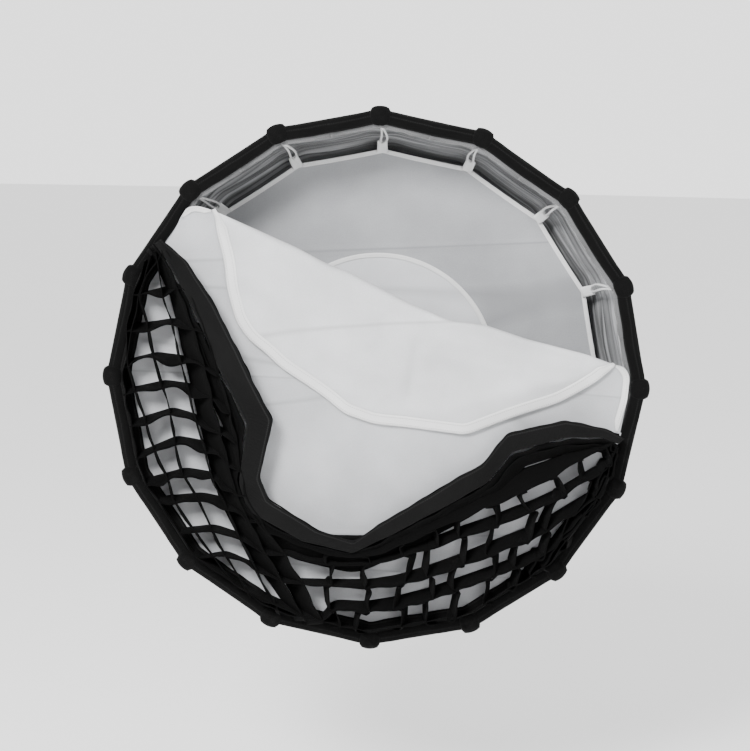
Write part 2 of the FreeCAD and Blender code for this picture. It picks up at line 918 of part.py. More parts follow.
def outer_diffuser():
    whole = folded_sheet(0)
    middle = folded_sheet(size("hem_width"))
    clearance = folded_sheet(size("hem_width") - size("soft_gap"))
    add_flat("OuterDiffuser", "outer_diffuser", middle)
    add_flat("DiffuserHem", "diffuser_hem", whole.cut(clearance))


def add_flat(name, label, shape):
    """A sub-part drawn in the forward frame by Part's functions."""
    shape.Placement = forward_frame().multiply(shape.Placement)
    feature = doc.addObject("Part::Feature", name)
    feature.Shape = shape
    subpart(feature, label)


# ---------------------------------------------------------------- fabric grid


def covered_region(inset):
    """The part of the front that the peeled grid still covers, as a flat face, inset from the peeled edge."""
    points = [FreeCAD.Vector(x, z, 0) for x, z in GRID_EDGE]
    points += [
        FreeCAD.Vector(BEYOND, GRID_EDGE[-1][1], 0),
        FreeCAD.Vector(BEYOND, -BEYOND, 0),
        FreeCAD.Vector(-BEYOND, -BEYOND, 0),
        FreeCAD.Vector(-BEYOND, GRID_EDGE[0][1], 0),
    ]
    face = Part.Face(Part.makePolygon(points + [points[0]]))
    if inset:
        face = face.makeOffset2D(-inset, 2)
    return face


def grid_block(inset, border, low, high):
    """The covered region as a block between two heights, inset by border all round."""
    region = covered_region(inset + border)
    block = region.extrude(FreeCAD.Vector(0, 0, high - low))
    block.translate(FreeCAD.Vector(0, 0, low))
    return block.common(
        opening_column(size("grid_apothem") - border, size("grid_radius") - border, low, high)
    )


def grid_lattice():
    """Crossing strips of cloth, closed by a border strip all round."""
    low = size("grid_forward")
    high = low + size("grid_depth")
    block = grid_block(size("band_width"), 0, low, high)
    cells = grid_block(size("band_width"), size("grid_border"), low, high)
    pitch, strip = size("grid_pitch"), size("grid_strip")
    half = int(size("grid_radius") // pitch) + 1
    holes = []
    for column in range(-half, half):
        for row in range(-half, half):
            corner = FreeCAD.Vector(column * pitch + strip / 2, row * pitch + strip / 2, low)
            hole = Part.makeBox(pitch - strip, pitch - strip, high - low, corner)
            holes.append(hole)
    windows = cells.common(Part.makeCompound(holes))
    add_flat("GridLattice", "grid_lattice", block.cut(windows))


def grid_band():
    """The wide hem tape along the grid's peeled edge."""
    high = size("grid_forward") + size("grid_depth")
    low = high - size("band_thickness")
    whole = grid_block(0, 0, low, high)
    inside = covered_region(size("band_width") - size("soft_gap"))
    inside = inside.extrude(FreeCAD.Vector(0, 0, high - low))
    inside.translate(FreeCAD.Vector(0, 0, low))
    add_flat("GridBand", "grid_band", whole.cut(inside))


# ---------------------------------------------------------------- build, check and write


def check():
    """Stops if an object failed or a sub-part has no valid solid."""
    for obj in doc.Objects:
        if "Invalid" in obj.State or "Error" in obj.State:
            raise ValueError(f"{obj.Label} failed: {obj.State}")
    for obj in subparts:
        shape = obj.Shape
        if shape.isNull() or not shape.isValid() or not shape.Solids:
            raise ValueError(f"{obj.Label} has no valid solid")


mount_ring()
bayonet_lugs()
retaining_ring()
retaining_screws()
hub_ring()
hinge_pins()
hub_cuff()
lock_knob()
knob_stud()
for rib_number in range(1, SIDES + 1):
    rib(rib_number)
    rib_shoe(rib_number)
shell_panels()
side_strips(
    "RimBinding",
    "rim_binding",
    "rim_inner",
    "rim_outer",
    "pocket_half_width + pocket_gap",
    "rim_forward",
    "rim_thickness",
)
side_strips(
    "LoopTape", "loop_tape", "tape_inner", "tape_outer", "tape_gap", "tape_forward", "tape_thickness"
)
rib_pockets()
inner_diffuser()
centre_disc()
corner_tabs()
elastic_loops()
outer_diffuser()
grid_lattice()
grid_band()
doc.recompute()
check()
os.makedirs("parts", exist_ok=True)
for obj in subparts:
    obj.Shape.exportStep(os.path.join("parts", f"{obj.Label}.step"))
    print(obj.Label, len(obj.Shape.Solids), round(obj.Shape.Volume / 1000, 2), "cm3")
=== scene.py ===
import json
import math

import bpy
import numpy as np
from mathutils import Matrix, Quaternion, Vector


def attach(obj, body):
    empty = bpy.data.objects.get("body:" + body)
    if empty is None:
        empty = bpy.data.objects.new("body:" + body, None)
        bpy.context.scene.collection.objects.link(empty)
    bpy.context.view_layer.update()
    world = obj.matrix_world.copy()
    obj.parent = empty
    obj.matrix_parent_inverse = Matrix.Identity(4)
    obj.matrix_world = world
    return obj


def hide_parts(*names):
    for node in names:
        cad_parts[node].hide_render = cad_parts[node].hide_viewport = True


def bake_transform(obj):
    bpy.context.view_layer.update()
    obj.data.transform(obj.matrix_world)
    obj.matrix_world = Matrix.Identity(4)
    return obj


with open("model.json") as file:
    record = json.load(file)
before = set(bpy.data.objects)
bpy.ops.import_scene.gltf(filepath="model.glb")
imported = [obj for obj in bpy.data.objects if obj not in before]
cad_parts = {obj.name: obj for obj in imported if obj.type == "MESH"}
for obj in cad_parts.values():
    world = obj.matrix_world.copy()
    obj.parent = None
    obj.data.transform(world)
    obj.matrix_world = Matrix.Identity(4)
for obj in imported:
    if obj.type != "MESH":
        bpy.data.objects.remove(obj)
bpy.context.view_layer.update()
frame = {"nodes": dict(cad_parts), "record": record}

# Outlines are in millimetres. A place on the softbox is (radius, forward, angle about its axis) or
# (x, z, forward), where forward is row -Y, the way that it shines.
MM = 0.001
SIDES = 16
STEP = 2 * math.pi / SIDES
HALF = STEP / 2
RIM_RADIUS = 440.0
HUB_EDGE, RIM_EDGE = 50.0, 556.0
# The cover, the lining and the ribs are arcs: the first two share a centre, as (radius, forward).
PANEL_CENTRE, ROD_CENTRE = (-215.149, 626.708), (-207.6, 630.6)
COVER_BEND, LINING_BEND, ROD_BEND = 662.0, 660.0, 658.0
# The cloth pattern starts and ends halfway between the two lowest ribs.
LOWEST_SEAM = -math.pi / 2 + HALF


# ---------------------------------------------------------------- camera


def make_camera():
    focus = Vector((0, -0.559, 0))
    azimuth, elevation, roll = (math.radians(a) for a in (1.90, 7.58, 1.17))
    back = Vector(
        (
            math.sin(azimuth) * math.cos(elevation),
            -math.cos(azimuth) * math.cos(elevation),
            math.sin(elevation),
        )
    )
    data = bpy.data.cameras.new("camera")
    data.lens, data.sensor_width = 86.1, 36
    data.clip_end = 100
    camera = bpy.data.objects.new("camera", data)
    bpy.context.scene.collection.objects.link(camera)
    camera.location = focus + back * 3.0
    aim = focus + Vector((0, 0, 0.0115))
    camera.rotation_mode = "QUATERNION"
    look = (aim - camera.location).to_track_quat("-Z", "Y")
    camera.rotation_quaternion = look @ Quaternion((0, 0, 1), roll)
    bpy.context.scene.camera = camera


make_camera()


# ---------------------------------------------------------------- materials


class Graph:
    """A material's node tree, built from its output backwards."""

    def __init__(self, name):
        self.material = bpy.data.materials.new(name)
        self.material.use_nodes = True
        self.tree = self.material.node_tree
        self.tree.nodes.clear()

    def add(self, kind, inputs=None, **settings):
        node = self.tree.nodes.new("ShaderNode" + kind)
        for key, value in settings.items():
            setattr(node, key, value)
        for key, value in (inputs or {}).items():
            if isinstance(value, bpy.types.NodeSocket):
                self.tree.links.new(value, node.inputs[key])
            else:
                node.inputs[key].default_value = value
        return node

    def math(self, operation, *values):
        return self.add("Math", dict(enumerate(values)), operation=operation).outputs[0]

    def noise(self, vector, scale, detail=3.0, distortion=0.0):
        inputs = {"Vector": vector, "Scale": scale, "Detail": detail, "Distortion": distortion}
        return self.add("TexNoise", inputs).outputs[0]

    def ramp(self, value, low, high):
        """value stretched so that low gives 0 and high gives 1."""
        inputs = {"Value": value, "From Min": low, "From Max": high}
        return self.add("MapRange", inputs).outputs[0]

    def mix(self, share, a, b):
        node = self.add("Mix", {0: share}, data_type="RGBA")
        for index, colour in ((6, a), (7, b)):
            if isinstance(colour, bpy.types.NodeSocket):
                self.tree.links.new(colour, node.inputs[index])
            else:
                node.inputs[index].default_value = (*colour, 1)
        return node.outputs[2]

    def finish(self, shader):
        output = self.add("OutputMaterial")
        self.tree.links.new(shader, output.inputs[0])
        return self.material


# Folding creases run in three directions: each set's turn in radians, and its noise's scale. They are bumps
# whose lines are also darkened with painted shade.
CREASE_SETS = ((0.3, (0.35, 4.6, 1.0)), (1.75, (0.3, 3.6, 1.0)), (0.95, (0.3, 2.6, 1.0)))


def cloth(
    name,
    light,
    dark,
    roughness=0.85,
    thread=0.0009,
    crease=0.0004,
    sheen=0.2,
    metallic=0.0,
    through=0.0,
    reflection_streaks=0.0,
    rib=0.0,
    stitches=(),
    thread_colour=None,
    shine=0.3,
):
    """Woven cloth whose UVs are in metres.

    It has threads, clouding and soft creases whose lines are darkened with painted shade, and can have
    streaky bumps with painted reflection along U, ribs along U and rows of stitching at distances along V.
    """
    g = Graph(name)
    uv = g.add("TexCoord").outputs["UV"]
    axes = g.add("SeparateXYZ", {0: uv})
    u, v = axes.outputs[0], axes.outputs[1]
    turns = 2 * math.pi / thread
    warp = g.math("SINE", g.math("MULTIPLY", u, turns))
    weft = g.math("SINE", g.math("MULTIPLY", v, turns))
    weave = g.math("MULTIPLY", g.math("MULTIPLY", warp, weft), thread * 0.12)
    cloud = g.noise(uv, 7.0, 5.0)
    grain = g.noise(uv, 420.0, 2.0)
    folds = g.math("MULTIPLY", g.noise(uv, 16.0, 4.0, 1.2), crease)
    height = g.math("ADD", weave, folds)
    painted_crease_shade = 1.0
    for turn, stretch in CREASE_SETS:
        place = g.add("Mapping", {"Vector": uv, "Rotation": (0.0, 0.0, turn), "Scale": stretch})
        level = g.noise(place.outputs[0], 1.0, 0.0, 0.0)
        gap = g.math("MINIMUM", g.math("ABSOLUTE", g.math("SUBTRACT", level, 0.5)), 0.016)
        height = g.math("ADD", height, g.math("MULTIPLY", gap, crease * 55))
        painted_crease_shade = g.math("MULTIPLY", painted_crease_shade, g.ramp(gap, -0.004, 0.005))
    share = g.math("ADD", g.math("MULTIPLY", cloud, 0.75), g.math("MULTIPLY", grain, 0.25))
    share = g.ramp(share, 0.3, 0.7)
    if reflection_streaks:
        stretched = g.add("Mapping", {"Vector": uv, "Scale": (2.2, 75.0, 1.0)}).outputs[0]
        bars = g.noise(stretched, 1.0, 4.0, 0.6)
        height = g.math("ADD", height, g.math("MULTIPLY", bars, reflection_streaks))
        # Painted reflection: the streak bars also swing the colour between the light and dark tones, as
        # crinkled metal cloth reflects.
        share = g.math("ADD", g.math("MULTIPLY", share, 0.25), g.ramp(bars, 0.4, 0.72))
    if rib:
        wale = g.math("SINE", g.math("MULTIPLY", u, 2 * math.pi / rib))
        height = g.math("ADD", height, g.math("MULTIPLY", wale, rib * 0.08))
    colour = g.mix(share, dark, light)
    # Painted shade: along the crease lines the colour falls to four fifths of the dark tone.
    colour = g.mix(painted_crease_shade, tuple(0.8 * part for part in dark), colour)
    for place in stitches:
        row = g.math("COMPARE", v, place, 0.0007)
        dash = g.math("LESS_THAN", g.math("FRACT", g.math("MULTIPLY", u, 260.0)), 0.68)
        stitch = g.math("MULTIPLY", row, dash)
        colour = g.mix(g.math("MULTIPLY", stitch, 0.7), colour, thread_colour or dark)
        groove = g.math("COMPARE", v, place, 0.0016)
        height = g.math("SUBTRACT", height, g.math("MULTIPLY", groove, 0.0004))
    normal = g.add("Bump", {"Height": height, "Distance": 1.0, "Strength": 1.0}).outputs[0]
    rough = g.math("ADD", g.math("MULTIPLY", cloud, 0.12), roughness - 0.06)
    principled = g.add(
        "BsdfPrincipled",
        {
            "Base Color": colour,
            "Roughness": rough,
            "Metallic": metallic,
            "Sheen Weight": sheen,
            "Sheen Roughness": 0.5,
            "Specular IOR Level": shine,
            "Normal": normal,
        },
    )
    if not through:
        return g.finish(principled.outputs[0])
    glow = g.add("BsdfTranslucent", {"Color": colour, "Normal": normal})
    both = g.add("MixShader", {0: through, 1: principled.outputs[0], 2: glow.outputs[0]})
    return g.finish(both.outputs[0])


def hard(name, light, dark, metallic, roughness, grain, depth, turned=0.0):
    """Metal or moulded plastic: grain, worn patches and, on turned pieces, fine rings about the axis."""
    g = Graph(name)
    place = g.add("TexCoord").outputs["Object"]
    fine = g.noise(place, grain, 3.0)
    worn = g.noise(place, 22.0, 5.0, 0.4)
    height = g.math("MULTIPLY", fine, depth)
    if turned:
        axes = g.add("SeparateXYZ", {0: place})
        across = g.math(
            "SQRT",
            g.math(
                "ADD",
                g.math("MULTIPLY", axes.outputs[0], axes.outputs[0]),
                g.math("MULTIPLY", axes.outputs[2], axes.outputs[2]),
            ),
        )
        rings = g.math("SINE", g.math("MULTIPLY", across, 2 * math.pi / turned))
        height = g.math("ADD", height, g.math("MULTIPLY", rings, depth * 0.5))
    normal = g.add("Bump", {"Height": height, "Distance": 1.0, "Strength": 1.0}).outputs[0]
    colour = g.mix(g.ramp(worn, 0.35, 0.7), dark, light)
    rough = g.math("ADD", g.math("MULTIPLY", worn, 0.25), roughness - 0.12)
    principled = g.add(
        "BsdfPrincipled",
        {"Base Color": colour, "Roughness": rough, "Metallic": metallic, "Normal": normal},
    )
    return g.finish(principled.outputs[0])


def grey(value, warm=0.0):
    return (value * (1 - warm), value, value * (1 + 2 * warm))


MATERIALS = {
    "shell_cloth": cloth("black_cover", grey(0.005), grey(0.003), 0.6, 0.0011, 0.0008, 0.02, shine=0.16),
    # The silver lining is one silver cloth: its clouding and streaky colour, from near-black to bright
    # silver, are painted reflection of its crinkles.
    "silver_lining": cloth(
        "silver_lining",
        grey(0.78, 0.01),
        grey(0.11, 0.01),
        0.36,
        crease=0.0012,
        sheen=0.0,
        metallic=0.45,
        reflection_streaks=0.0016,
    ),
    "rim_webbing": cloth(
        "rim_webbing",
        grey(0.0028),
        grey(0.0016),
        0.8,
        0.0014,
        0.0005,
        0.03,
        rib=0.0022,
        stitches=(0.006, 0.02),
        thread_colour=grey(0.012),
        shine=0.05,
    ),
    "pocket_webbing": cloth(
        "pocket_webbing",
        grey(0.0028),
        grey(0.0016),
        0.78,
        0.0016,
        0.0005,
        0.03,
        rib=0.002,
        stitches=(0.005,),
        thread_colour=grey(0.012),
        shine=0.05,
    ),
    "loop_tape": cloth(
        "loop_tape", grey(0.17, 0.01), grey(0.07, 0.01), 0.95, 0.0014, 0.0012, 0.4, stitches=(0.003,)
    ),
    # Painted shade: the inner sheet is the same white cloth as the outer one, made darker for the shade deep
    # in the recess.
    "inner_cloth": cloth(
        "inner_cloth", grey(0.42, 0.018), grey(0.29, 0.018), 0.75, 0.0008, 0.0012, 0.1, through=0.15
    ),
    "disc_cloth": cloth(
        "disc_cloth", grey(0.68, 0.015), grey(0.52, 0.015), 0.75, 0.0008, 0.0010, 0.1, through=0.1
    ),
    "white_binding": cloth(
        "white_binding", grey(0.74), grey(0.62), 0.8, 0.0009, 0.0003, stitches=(0.0025, 0.0065)
    ),
    "tab_tape": cloth("tab_tape", grey(0.85), grey(0.75), 0.8, 0.0009, 0.0003, stitches=(0.004,)),
    "elastic_cord": cloth("elastic_cord", grey(0.78), grey(0.55), 0.8, 0.0012, 0.0002, rib=0.0016),
    # Painted shade: the lower part of the outer sheet is darker than its flap, for the dark inside behind it.
    "outer_cloth": cloth(
        "outer_cloth", grey(0.55, 0.016), grey(0.38, 0.016), 0.75, 0.0008, 0.0012, 0.15, through=0.15
    ),
    # The folded flap is lighter partly because it is doubled and partly by painted light.
    "doubled_cloth": cloth(
        "doubled_cloth", grey(0.68, 0.01), grey(0.46, 0.01), 0.75, 0.0008, 0.0013, 0.15, through=0.1
    ),
    "hem_tape": cloth(
        "hem_tape",
        grey(0.76),
        grey(0.62),
        0.85,
        0.0009,
        0.0006,
        stitches=(0.0035, 0.0155),
        thread_colour=grey(0.4),
    ),
    "grid_cloth": cloth(
        "grid_cloth", grey(0.0024), grey(0.0014), 0.85, 0.0010, 0.0008, 0.008, shine=0.04
    ),
    "grid_tape": cloth(
        "grid_tape",
        grey(0.005),
        grey(0.002),
        0.9,
        0.0013,
        0.001,
        0.02,
        rib=0.0024,
        stitches=(0.004, 0.034),
        thread_colour=grey(0.02),
        shine=0.08,
    ),
    "cuff_cloth": cloth(
        "cuff_cloth", grey(0.01), grey(0.005), 0.8, 0.0012, 0.0009, 0.05, rib=0.003, shine=0.15
    ),
    "cast_metal": hard("cast_metal", grey(0.42), grey(0.3), 1.0, 0.34, 700, 0.00004, 0.0009),
    "lug_steel": hard("lug_steel", grey(0.5), grey(0.36), 1.0, 0.32, 900, 0.00003),
    "black_anodised": hard("black_anodised", grey(0.04), grey(0.02), 0.6, 0.42, 900, 0.00003, 0.0008),
    "screw_steel": hard("screw_steel", grey(0.55), grey(0.4), 1.0, 0.3, 1200, 0.00002),
    "hub_metal": hard("hub_metal", grey(0.045), grey(0.025), 0.3, 0.55, 1600, 0.00008),
    "knob_plastic": hard("knob_plastic", grey(0.045), grey(0.028), 0.0, 0.5, 1500, 0.00006),
    "rib_steel": hard("rib_steel", grey(0.42), grey(0.26), 1.0, 0.34, 1000, 0.00003),
    "shoe_plastic": hard("shoe_plastic", grey(0.05), grey(0.03), 0.0, 0.48, 1300, 0.00006),
}

for name, node in frame["nodes"].items():
    slot_name = next(s["material_slot"] for s in frame["record"]["subparts"] if s["node"] == name)
    node.data.materials.clear()
    node.data.materials.append(MATERIALS[slot_name])


# ---------------------------------------------------------------- mesh tools


def polar(radius, forward, angle):
    radius, forward, angle = np.broadcast_arrays(radius, forward, angle)
    return np.stack([radius * np.cos(angle), -forward, radius * np.sin(angle)], -1) * MM


def flat_place(xz, forward):
    xz = np.asarray(xz, float)
    forward = np.broadcast_to(forward, xz.shape[:-1])
    return np.stack([xz[..., 0], -forward, xz[..., 1]], -1) * MM


def measure(points, loop):
    """UVs in metres: U along the first axis and V along the second."""
    if loop[0]:
        points = np.concatenate([points, points[:1]])
    if loop[1]:
        points = np.concatenate([points, points[:, :1]], 1)
    n, m = points.shape[:2]
    along = np.linalg.norm(np.diff(points[:, m // 2], axis=0), axis=1)
    across = np.linalg.norm(np.diff(points[n // 2], axis=0), axis=1)
    u, v = np.r_[0, np.cumsum(along)], np.r_[0, np.cumsum(across)]
    return np.stack(np.meshgrid(u, v, indexing="ij"), -1)


def surface(name, points, slot, loop=(False, False), uv=None, thickness=0.0):
    """A smooth grid of quads through points[i, j]. loop closes it along either axis."""
    points = np.asarray(points, float)
    n, m = points.shape[:2]
    if uv is None:
        uv = measure(points, loop)
    first = (np.arange(n + loop[0]) % n)[:, None] * m
    index = first + (np.arange(m + loop[1]) % m)[None, :]

    def corners(grid):
        return np.stack([grid[:-1, :-1], grid[1:, :-1], grid[1:, 1:], grid[:-1, 1:]], 2)

    mesh = bpy.data.meshes.new(name)
    mesh.from_pydata(points.reshape(-1, 3).tolist(), [], corners(index).reshape(-1, 4).tolist())
    layer = mesh.uv_layers.new(name="UVMap")
    layer.data.foreach_set("uv", corners(uv).reshape(-1).astype(np.float32))
    mesh.polygons.foreach_set("use_smooth", [True] * len(mesh.polygons))
    mesh.materials.append(MATERIALS[slot])
    obj = bpy.data.objects.new(name, mesh)
    bpy.context.scene.collection.objects.link(obj)
    if thickness:
        shell = obj.modifiers.new("thickness", "SOLIDIFY")
        shell.thickness, shell.offset = thickness * MM, 0.0
    return obj


def tube(name, path, radius, slot, closed=False):
    """A round cord along path, in metres."""
    ahead = np.roll(path, -1, 0) - np.roll(path, 1, 0) if closed else np.gradient(path, axis=0)
    ahead /= np.linalg.norm(ahead, axis=1)[:, None]
    side = np.cross(ahead, (0.3, 0.9, 0.2))
    side /= np.linalg.norm(side, axis=1)[:, None]
    other = np.cross(ahead, side)
    turn = np.linspace(0, 2 * math.pi, 10, endpoint=False)
    ring = side[:, None] * np.cos(turn)[None, :, None] + other[:, None] * np.sin(turn)[None, :, None]
    return surface(name, path[:, None] + ring * radius * MM, slot, (closed, True))


def ripple(x, y, wavelength, seed, count=7):
    """Smooth waves in many directions, about 1 high."""
    rng = np.random.default_rng(seed)
    total = 0.0
    for _ in range(count):
        angle, phase = rng.uniform(0, 2 * math.pi, 2)
        length = wavelength * rng.uniform(0.6, 1.6)
        total = total + np.sin(
            2 * math.pi * (x * math.cos(angle) + y * math.sin(angle)) / length + phase
        )
    return total / math.sqrt(count)


def ring_ripple(angle, forward, across, along, seed, count=7):
    """Waves over the shell that meet again after a whole turn."""
    rng = np.random.default_rng(seed)
    total = 0.0
    for _ in range(count):
        turns = round(2 * math.pi * RIM_RADIUS / (across * rng.uniform(0.6, 1.6)))
        turns *= rng.choice((-1, 1))
        length = along * rng.uniform(0.6, 1.6)
        phase = rng.uniform(0, 2 * math.pi)
        total = total + np.sin(turns * angle + 2 * math.pi * forward / length + phase)
    return total / math.sqrt(count)


def smoothstep(value):
    value = np.clip(value, 0, 1)
    return value * value * (3 - 2 * value)


def soften(line, reach):
    """Rounds a line's corners and keeps its ends."""
    if not reach:
        return line
    step = np.linalg.norm(np.diff(line, axis=0), axis=1).mean()
    half = max(1, int(round(2 * reach / step)))
    weights = np.exp(-0.5 * (np.arange(-half, half + 1) * step / reach) ** 2)
    weights /= weights.sum()
    start = 2 * line[0] - line[half:0:-1]
    end = 2 * line[-1] - line[-2 : -half - 2 : -1]
    padded = np.concatenate([start, line, end])
    return np.stack([np.convolve(padded[:, k], weights, "valid") for k in range(line.shape[1])], 1)


def resample(line, count, reach=0.0):
    line = np.asarray(line, float)
    run = np.r_[0, np.cumsum(np.linalg.norm(np.diff(line, axis=0), axis=1))]
    at = np.linspace(0, run[-1], count)
    even = np.stack([np.interp(at, run, line[:, k]) for k in range(line.shape[1])], 1)
    return soften(even, min(reach, run[-1] / 12))


def left_normals(line):
    ahead = np.gradient(line, axis=0)
    ahead /= np.linalg.norm(ahead, axis=1)[:, None]
    return np.stack([-ahead[:, 1], ahead[:, 0]], 1)


def distance(points, line):
    """Each point's distance to a dense line."""
    gap = points[..., None, :] - line
    return np.sqrt((gap**2).sum(-1)).min(-1)


def from_midplane(angle):
    """How far a direction is from the middle of its side of the rim."""
    return np.abs((angle / STEP) % 1.0 - 0.5) * STEP


def side_radius(apothem, angle):
    return apothem / np.cos(from_midplane(angle))


def rib_body(number):
    return f"rib_{number:02d}_arm"


def rib_angle(number):
    return math.pi / 2 - STEP * (number - 1)


# ---------------------------------------------------------------- shell


def arc(centre, bend, forward):
    return centre[0] + np.sqrt(bend**2 - (forward - centre[1]) ** 2)


def cover_apothem(forward):
    return arc(PANEL_CENTRE, COVER_BEND, forward)


def rod_radius(forward):
    return arc(ROD_CENTRE, ROD_BEND, forward)


def cover_radius(share, forward, angle):
    """The black cover. share is 0 over a rib and 1 halfway to the next."""
    hollow = 4.0 * (1 - (1 - share) ** 2) * np.sin(math.pi * (forward - HUB_EDGE) / 512)
    pull = 0.9 * np.exp(-share / 0.3) * np.sin(forward / 7.5 + 2 * np.sin(forward / 61))
    loose = 0.9 * ring_ripple(angle, forward, 170, 130, 3)
    edges = np.sin(math.pi * (forward - HUB_EDGE) / (RIM_EDGE - HUB_EDGE)) ** 0.5
    return side_radius(cover_apothem(forward), angle) - hollow + (pull + loose) * edges


def lining_radius(share, forward, angle):
    """The silver lining, which passes inside the ribs."""
    hollow = 2.2 + 4.0 * (1 - (1 - share) ** 2) * np.sin(math.pi * (forward - HUB_EDGE) / 512)
    middle = side_radius(arc(PANEL_CENTRE, LINING_BEND, forward), angle) - hollow
    past_tip = smoothstep((forward - 538) / 12)
    over_rib = (rod_radius(forward) - 4.3) * (1 - past_tip) + (middle - 1.5) * past_tip
    near_rib = 1 - smoothstep(share / 0.5)
    gathers = 2.2 * np.exp(-share / 0.16) * np.sin(forward / 3.9 + 3 * np.sin(forward / 37))
    bars = 0.6 * ring_ripple(angle, forward, 260, 22, 11)
    bars = bars + 0.8 * ring_ripple(angle, forward, 240, 70, 12)
    still = smoothstep((556 - forward) / 14) * smoothstep((forward - 60) / 40)
    loose = (gathers + bars) * still
    return middle * (1 - near_rib) + over_rib * near_rib + np.minimum(loose, 1.6)


def halves():
    """Each rib's two half gores: its number, the side, the share of the way to the middle of
    the panel, which runs from 1 to 0 at the rib, and the angles."""
    for number in range(1, SIDES + 1):
        for side in (-1, 1):
            share = np.linspace(1, 0, 15)
            yield number, side, share, rib_angle(number) + side * HALF * share


def sew(obj):
    """Bakes the piece's placement into its mesh."""
    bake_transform(obj)


def gore(name, slot, number, side, share, angle, forward, radius):
    share, forward = share[None, :], forward[:, None]
    points = polar(radius(share, forward, angle[None, :]), forward, angle[None, :])
    run = np.r_[0, np.cumsum(np.linalg.norm(np.diff(points[:, 0], axis=0), axis=1))]
    whole_turns = math.floor((angle.mean() - LOWEST_SEAM) / (2 * math.pi))
    across = (angle - whole_turns * 2 * math.pi) * 0.38
    uv = np.stack(np.broadcast_arrays(across[None, :], run[:, None]), -1)
    obj = surface(f"{name}_{number:02d}_{'ab'[side > 0]}", points, slot, uv=uv)
    sew(obj)
    # Its cut shape tapers from the rim to the hub, half a panel wide.
    return obj


def make_shell():
    cover_rows = np.linspace(HUB_EDGE, RIM_EDGE, 64)
    lining_rows = np.r_[np.linspace(57, 390, 40, endpoint=False), np.linspace(390, 553.5, 60)]
    for number, side, share, angle in halves():
        cover = gore("cover", "shell_cloth", number, side, share, angle, cover_rows, cover_radius)
        gore("lining", "silver_lining", number, side, share, angle, lining_rows, lining_radius)
        if number == 1 and side < 0:
            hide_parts("shell_panels")


def make_sleeves():
    """Sewn sleeves over the ribs, on the outside of the cover."""
    forward = np.linspace(60, 522, 60)[:, None]
    across = np.linspace(-1, 1, 11)[None, :]
    for number in range(1, SIDES + 1):
        angle = rib_angle(number)
        base = side_radius(cover_apothem(forward), angle)
        rise = 3.4 * (1 - across**2) ** 0.7 + 0.9 - 1.9 * np.abs(across)
        rise = rise + 0.25 * np.sin(forward / 6 + number)
        radius = np.broadcast_to(base + rise, (60, 11))
        points = polar(radius, forward, angle)
        side = np.array([-math.sin(angle), 0, math.cos(angle)]) * 8.5 * MM
        points = points + across[..., None] * side
        sleeve = surface(f"rib_sleeve_{number:02d}", points, "rim_webbing", thickness=0.8)
        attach(sleeve, rib_body(number))


# The rim tape's section as (apothem, forward).
BINDING = [
    (421.2, 555.4),
    (420.6, 558.0),
    (421.6, 561.2),
    (425.5, 563.0),
    (431.5, 563.5),
    (437.5, 563.0),
    (441.8, 561.4),
    (443.6, 557.5),
    (444.2, 550.0),
    (443.6, 543.0),
    (442.2, 543.0),
    (442.0, 550.0),
    (438.5, 554.6),
    (430.0, 555.0),
]


def make_rim():
    section = np.array(BINDING)
    for number, side, share, angle in halves():
        bow = 1.6 * (1 - (1 - share) ** 2)
        wave = 0.35 * ring_ripple(angle, 0, 60, 60, 21)
        apothem = section[None, :, 0] - (bow + wave)[:, None]
        points = polar(side_radius(apothem, angle[:, None]), section[None, :, 1], angle[:, None])
        mark = f"{number:02d}_{'ab'[side > 0]}"
        binding = surface(f"rim_binding_{mark}", points, "rim_webbing", (False, True))
        sew(binding)
        apothem = np.linspace(413.5, 437.5, 9)[None, :] - bow[:, None]
        apothem = apothem + 0.8 * ring_ripple(angle, 0, 45, 45, 22)[:, None]
        lift = 554.3 + 0.5 * ring_ripple(angle[:, None], apothem, 40, 40, 23)
        points = polar(side_radius(apothem, angle[:, None]), np.minimum(lift, 554.9), angle[:, None])
        tape = surface(f"loop_tape_{mark}", points, "loop_tape", thickness=1.6)
        sew(tape)
        if number == 1 and side < 0:
            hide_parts("rim_binding")
            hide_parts("loop_tape")


def along_rib(number, radial, tangential, forward):
    """A place beside a rib from its distances along the radius, round the rim and forward."""
    angle = rib_angle(number)
    radial, tangential, forward = np.broadcast_arrays(radial, tangential, forward)
    x = radial * math.cos(angle) - tangential * math.sin(angle)
    z = radial * math.sin(angle) + tangential * math.cos(angle)
    return np.stack([x, -forward, z], -1) * MM


def squared(value, power):
    return np.sign(value) * np.abs(value) ** power


